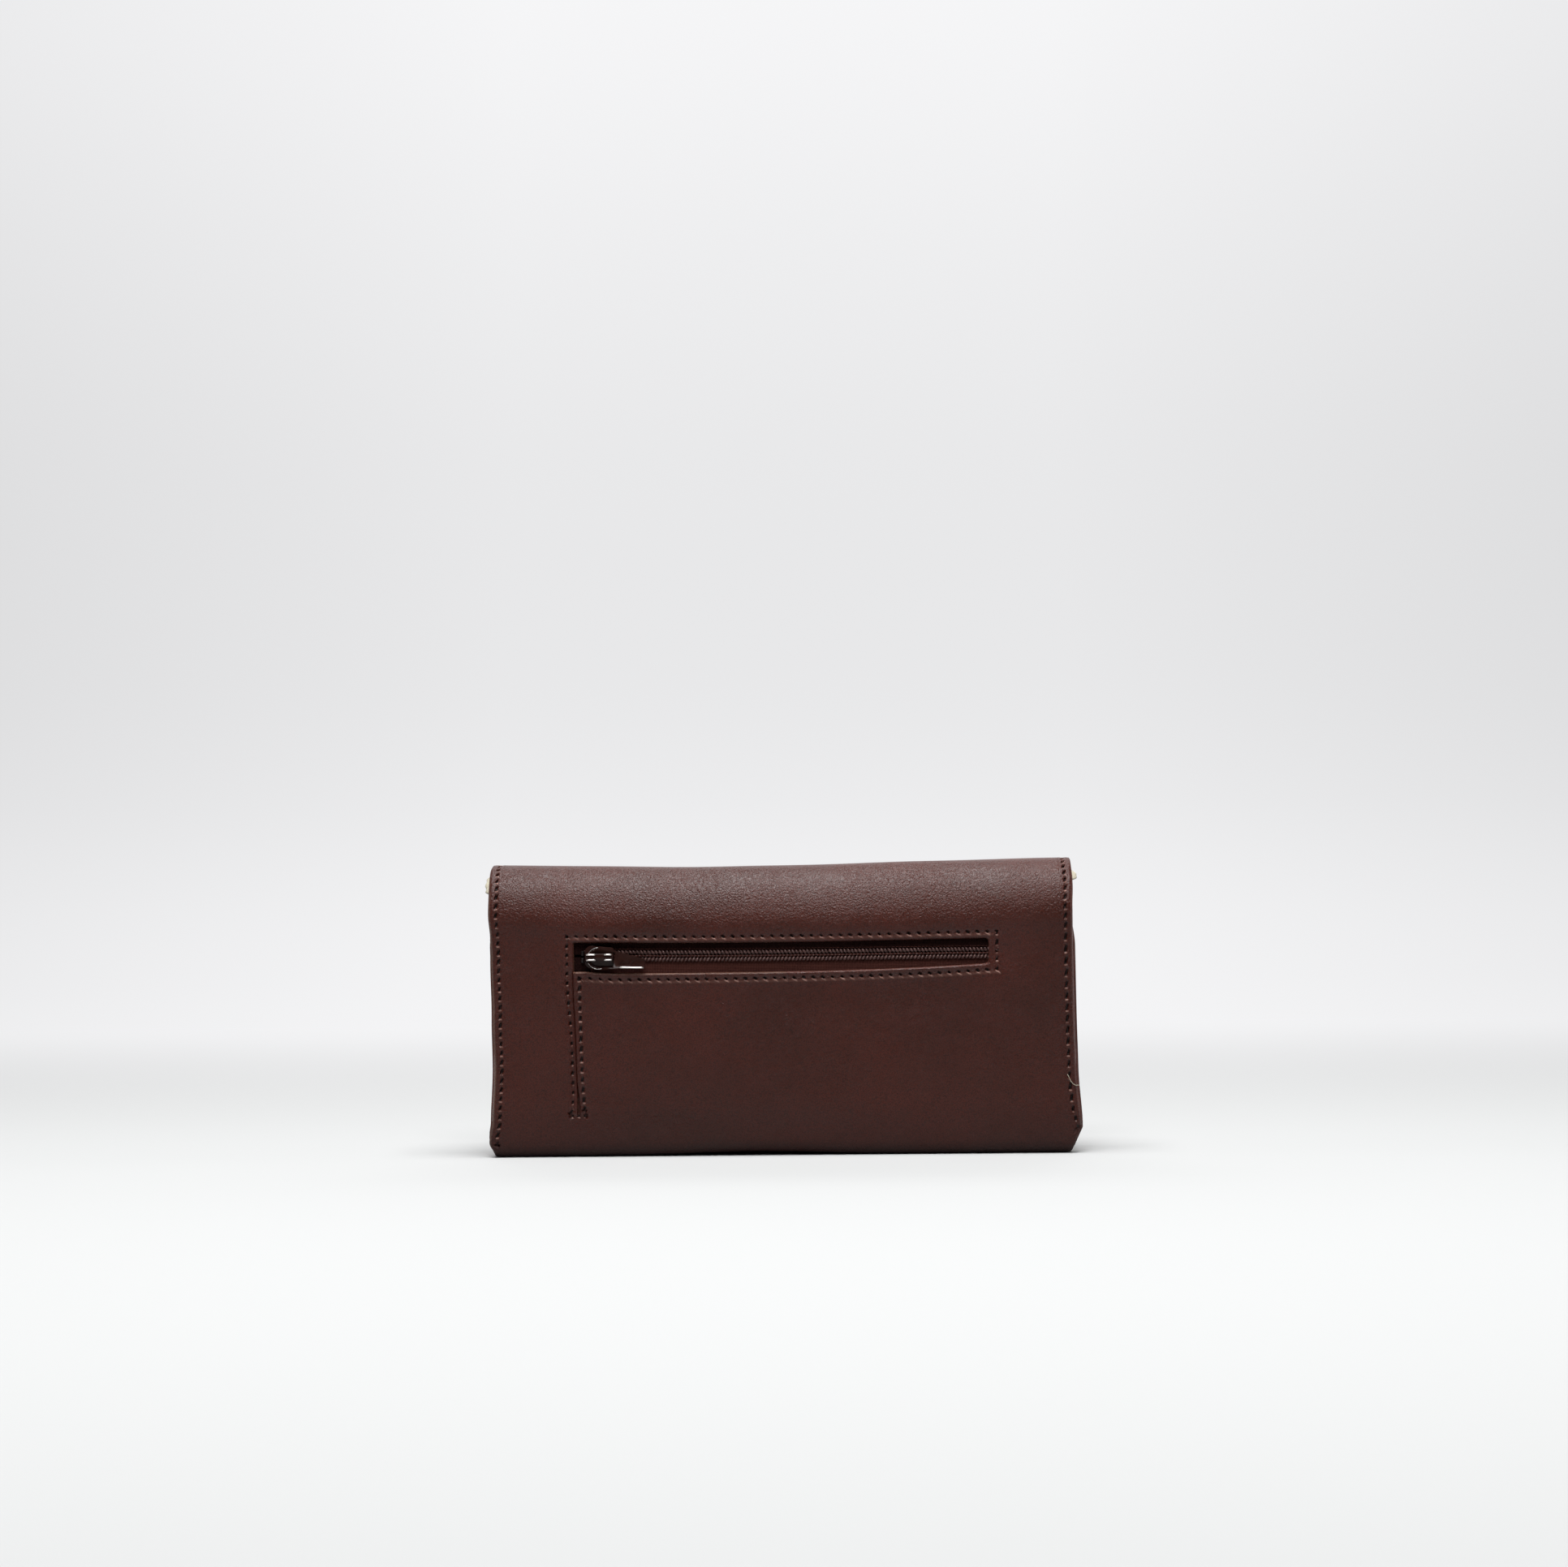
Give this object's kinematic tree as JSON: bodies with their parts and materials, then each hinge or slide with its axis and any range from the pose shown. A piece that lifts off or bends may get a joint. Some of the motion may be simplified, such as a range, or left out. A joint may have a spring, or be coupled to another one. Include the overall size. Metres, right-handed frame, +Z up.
{
  "type": "zippered long wallet",
  "caption": "Long flap wallet of smooth leather with a zip pocket in its back, a snap closure, folding side gussets, a divider and card slots.",
  "frame": {"origin": "middle of the overall box on the face that the pouch stands on", "axes": "+X across the width, -Y out of the back that holds the zip, +Y towards the flap, +Z up to the top fold"},
  "size_m": [0.1952, 0.03, 0.096],
  "materials": {
    "outer_leather": "smooth dark brown leather with a fine grain",
    "thin_leather": "thin brown leather",
    "lining_cloth": "cream woven lining",
    "pocket_cloth": "dark woven pocket cloth",
    "board": "pressed fibre stiffening board",
    "zip_tape": "dark brown woven tape",
    "zip_coil": "brown nylon coil",
    "zip_metal": "glossy dark brown enamel",
    "snap_metal": "old brass plating",
    "steel": "plain steel",
    "magnet": "bare ferrite magnet"
  },
  "bodies": {
    "back": {"back_panel": "outer_leather", "base_panel": "outer_leather", "base_lining": "lining_cloth", "back_lining": "lining_cloth", "zip_tape_upper": "zip_tape", "zip_tape_lower": "zip_tape", "zip_coil_upper": "zip_coil", "zip_coil_lower": "zip_coil", "zip_top_stops": "zip_metal", "zip_bottom_stop": "zip_metal", "pocket_bag_front": "pocket_cloth", "pocket_bag_back": "pocket_cloth", "slit_facing": "thin_leather", "left_gusset": "thin_leather", "right_gusset": "thin_leather", "left_gusset_lining": "lining_cloth", "right_gusset_lining": "lining_cloth", "card_slots_low": "thin_leather", "card_slots_middle": "thin_leather", "card_slots_high": "thin_leather"},
    "fold": {"top_fold": "outer_leather", "top_fold_lining": "lining_cloth"},
    "flap": {"flap_leather": "outer_leather", "flap_board": "board", "flap_lining": "lining_cloth", "snap_stud": "snap_metal", "stud_washer": "steel"},
    "front": {"front_leather": "outer_leather", "front_board": "board", "front_lining": "lining_cloth", "snap_socket": "snap_metal", "snap_magnet": "magnet", "socket_washer": "steel"},
    "divider": {"divider": "thin_leather"},
    "slider": {"zip_slider": "zip_metal", "slider_crown": "zip_metal"},
    "pull": {"zip_pull": "zip_metal"}
  },
  "joints": [
    {"name": "fold_open", "type": "hinge", "parent": "back", "child": "fold", "pos_m": [0, -0.01203, 0.0825], "axis": [1, 0, 0], "range_deg": [0, 90]},
    {"name": "flap_open", "type": "hinge", "parent": "fold", "child": "flap", "pos_m": [0, 0.01498, 0.0825], "axis": [1, 0, 0], "range_deg": [0, 90]},
    {"name": "front_open", "type": "hinge", "parent": "back", "child": "front", "pos_m": [0, 0.01028, 0.00315], "axis": [-1, 0, 0], "range_deg": [0, 12], "deforming": ["left_gusset", "right_gusset", "left_gusset_lining", "right_gusset_lining"]},
    {"name": "divider_tilt", "type": "hinge", "parent": "back", "child": "divider", "pos_m": [0, 0.00297, 0.0024], "axis": [-1, 0, 0], "range_deg": [0, 6]},
    {"name": "zip_slide", "type": "slide", "parent": "back", "child": "slider", "axis": [1, 0, 0], "range_m": [0, 0.1219]},
    {"name": "pull_swing", "type": "hinge", "parent": "slider", "child": "pull", "pos_m": [-0.06482, -0.0134, 0.066], "axis": [-0.1219, 0, -0.9925], "range_deg": [0, 175]}
  ],
  "couplings": [
    {"joint": "flap_open", "follows": "fold_open", "ratio": 1},
    {"joint": "front_open", "follows": "fold_open", "ratio": 0.1333},
    {"joint": "divider_tilt", "follows": "fold_open", "ratio": 0.0666}
  ]
}
